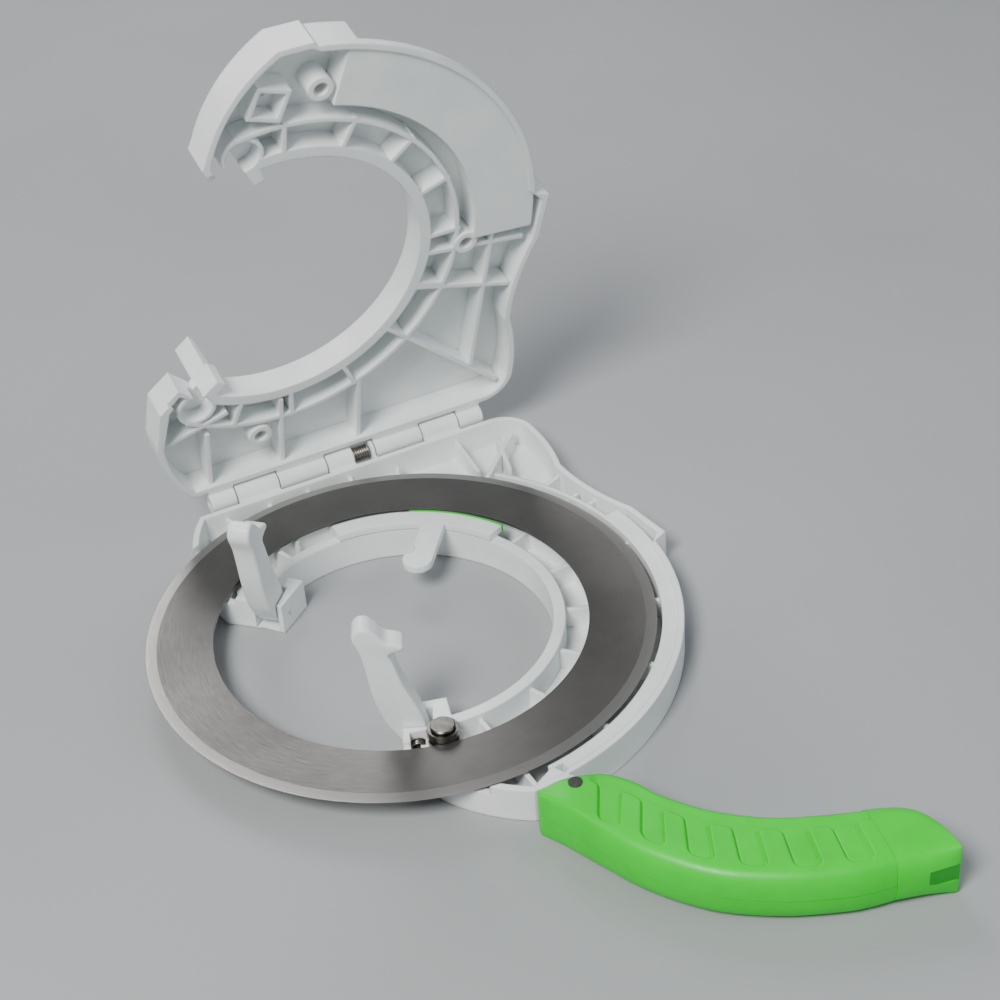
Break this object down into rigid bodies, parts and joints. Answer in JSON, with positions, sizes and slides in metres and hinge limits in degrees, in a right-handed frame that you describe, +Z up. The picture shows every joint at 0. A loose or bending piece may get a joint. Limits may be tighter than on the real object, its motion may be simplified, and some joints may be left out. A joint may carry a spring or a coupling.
{
  "type": "rotary cutter",
  "caption": "Ring-bladed cutter with a C-shaped housing, a hinged cover standing open, latch levers, a lock slide and a curved side handle",
  "frame": {"origin": "middle of the footprint of the whole object as it stands open, on the table", "axes": "+Y runs from the handle to the hinge, +X to the right along the hinge line, +Z up"},
  "size_m": [0.1843, 0.292, 0.2],
  "materials": {
    "white_plastic": "satin moulded plastic",
    "green_plastic": "soft satin moulded plastic",
    "blade_steel": "ground steel with a brighter edge",
    "axle_steel": "turned steel",
    "roller_steel": "turned steel",
    "spring_steel": "drawn wire"
  },
  "bodies": {
    "base": {"base_housing": "white_plastic", "hinge_pin": "axle_steel", "hinge_spring": "spring_steel", "left_axle": "axle_steel", "lower_axle": "axle_steel", "left_lever_pin": "axle_steel", "lower_lever_pin": "axle_steel", "left_lever_spring": "spring_steel", "lower_lever_spring": "spring_steel", "handle_lower": "green_plastic", "handle_upper": "green_plastic", "handle_cap": "green_plastic", "handle_pin": "axle_steel"},
    "cover": {"cover_housing": "white_plastic"},
    "blade": {"blade_ring": "blade_steel"},
    "left_roll": {"left_roller": "roller_steel"},
    "lower_roll": {"lower_roller": "roller_steel"},
    "left_latch": {"left_lever": "white_plastic"},
    "lower_latch": {"lower_lever": "white_plastic"},
    "slide": {"lock_slide": "white_plastic", "slide_band": "green_plastic"}
  },
  "joints": [
    {"name": "cover_hinge", "type": "hinge", "parent": "base", "child": "cover", "pos_m": [0, 0.13148, 0.01265], "axis": [1, 0, 0], "range_deg": [0, 75.5], "stiffness_Nm_per_rad": 0.038, "springref_deg": -45.84},
    {"name": "blade_spin", "type": "hinge", "parent": "base", "child": "blade", "pos_m": [-0.00715, 0.03598, 0.011], "axis": [0, 0, 1], "continuous": true},
    {"name": "left_roller_spin", "type": "hinge", "parent": "base", "child": "left_roll", "pos_m": [-0.04022, 0.08375, 0.011], "axis": [0, 0, 1], "continuous": true},
    {"name": "lower_roller_spin", "type": "hinge", "parent": "base", "child": "lower_roll", "pos_m": [-0.01913, -0.02087, 0.011], "axis": [0, 0, 1], "continuous": true},
    {"name": "left_latch_hinge", "type": "hinge", "parent": "base", "child": "left_latch", "pos_m": [-0.03974, 0.07218, 0.0056], "axis": [-0.7349, 0.6782, 0], "range_deg": [0, 17], "stiffness_Nm_per_rad": 0.004, "springref_deg": -22.92},
    {"name": "lower_latch_hinge", "type": "hinge", "parent": "base", "child": "lower_latch", "pos_m": [-0.02317, -0.01002, 0.0056], "axis": [0.4147, 0.91, 0], "range_deg": [0, 17], "stiffness_Nm_per_rad": 0.004, "springref_deg": -22.92},
    {"name": "lock_slide_turn", "type": "hinge", "parent": "base", "child": "slide", "pos_m": [-0.00715, 0.03598, 0.0129], "axis": [0, 0, 1], "range_deg": [0, 8]}
  ],
  "couplings": [
    {"joint": "left_roller_spin", "follows": "blade_spin", "ratio": 14.905},
    {"joint": "lower_roller_spin", "follows": "blade_spin", "ratio": 14.905}
  ]
}
